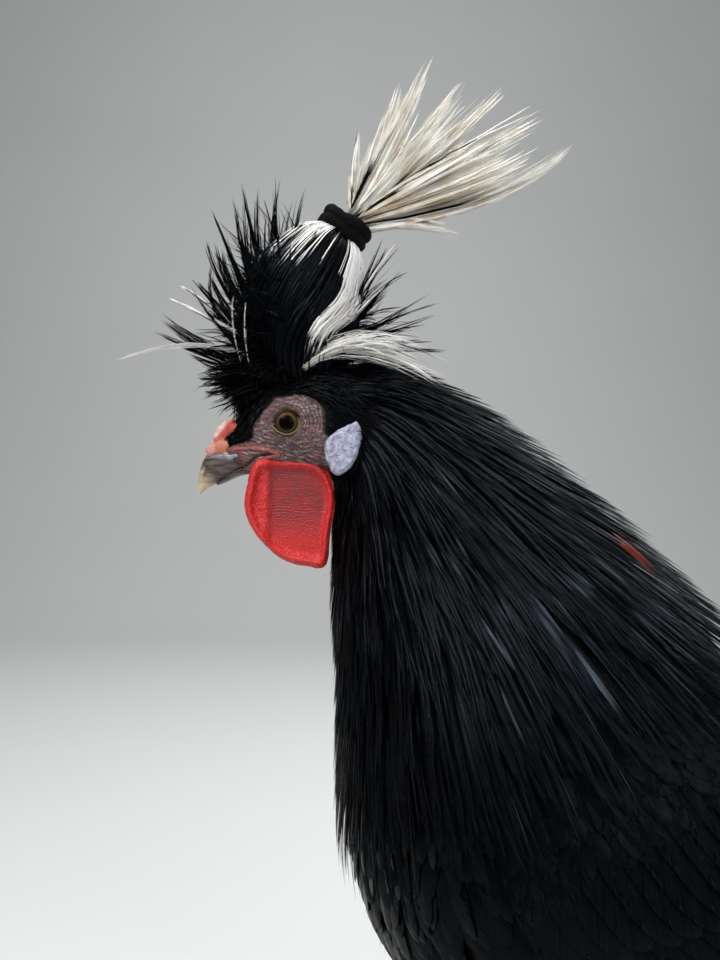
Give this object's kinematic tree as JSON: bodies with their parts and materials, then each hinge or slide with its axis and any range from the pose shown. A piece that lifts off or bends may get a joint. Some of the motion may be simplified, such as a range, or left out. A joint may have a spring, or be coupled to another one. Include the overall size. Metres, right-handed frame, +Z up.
{
  "type": "polish crested chicken",
  "caption": "Standing black crested cock with long hackle, folded wings, sickle tail, red wattles and a white crest gathered upright in a black elastic tie.",
  "frame": {"origin": "middle of the underside of the whole model's bounding box, at the level of the soles", "axes": "+Z up, from the soles to the crest; the bird faces -X; +Y is its right side"},
  "size_m": [0.492, 0.175, 0.5908],
  "materials": {
    "black_plumage": "black feathers with a slate-blue gloss",
    "white_plumage": "cream-white feathers, matt",
    "face_skin": "thin wrinkled skin, satin",
    "red_flesh": "pebbled moist skin",
    "white_lobe": "soft matt skin, white with a lavender tint",
    "bill_horn": "smooth horn",
    "eye": "wet and glossy",
    "slate_leg": "slate-coloured scales, satin",
    "claw_horn": "dark horn",
    "black_elastic": "matt black elastic"
  },
  "bodies": {
    "root": {"bill_lower": "bill_horn", "bill_upper": "bill_horn", "claw_left_1": "claw_horn", "claw_left_2": "claw_horn", "claw_left_3": "claw_horn", "claw_left_4": "claw_horn", "claw_right_1": "claw_horn", "claw_right_2": "claw_horn", "claw_right_3": "claw_horn", "claw_right_4": "claw_horn", "comb": "red_flesh", "crest": "black_plumage", "crest_plume": "white_plumage", "crest_tie": "black_elastic", "earlobe_left": "white_lobe", "earlobe_right": "white_lobe", "eye_left": "eye", "eye_right": "eye", "foot_left": "slate_leg", "foot_right": "slate_leg", "head": "face_skin", "neck": "black_plumage", "shank_left": "slate_leg", "shank_right": "slate_leg", "tail": "black_plumage", "thigh_left": "black_plumage", "thigh_right": "black_plumage", "torso": "black_plumage", "wattle_left": "red_flesh", "wattle_right": "red_flesh", "wing_left": "black_plumage", "wing_right": "black_plumage"}
  },
  "joints": []
}
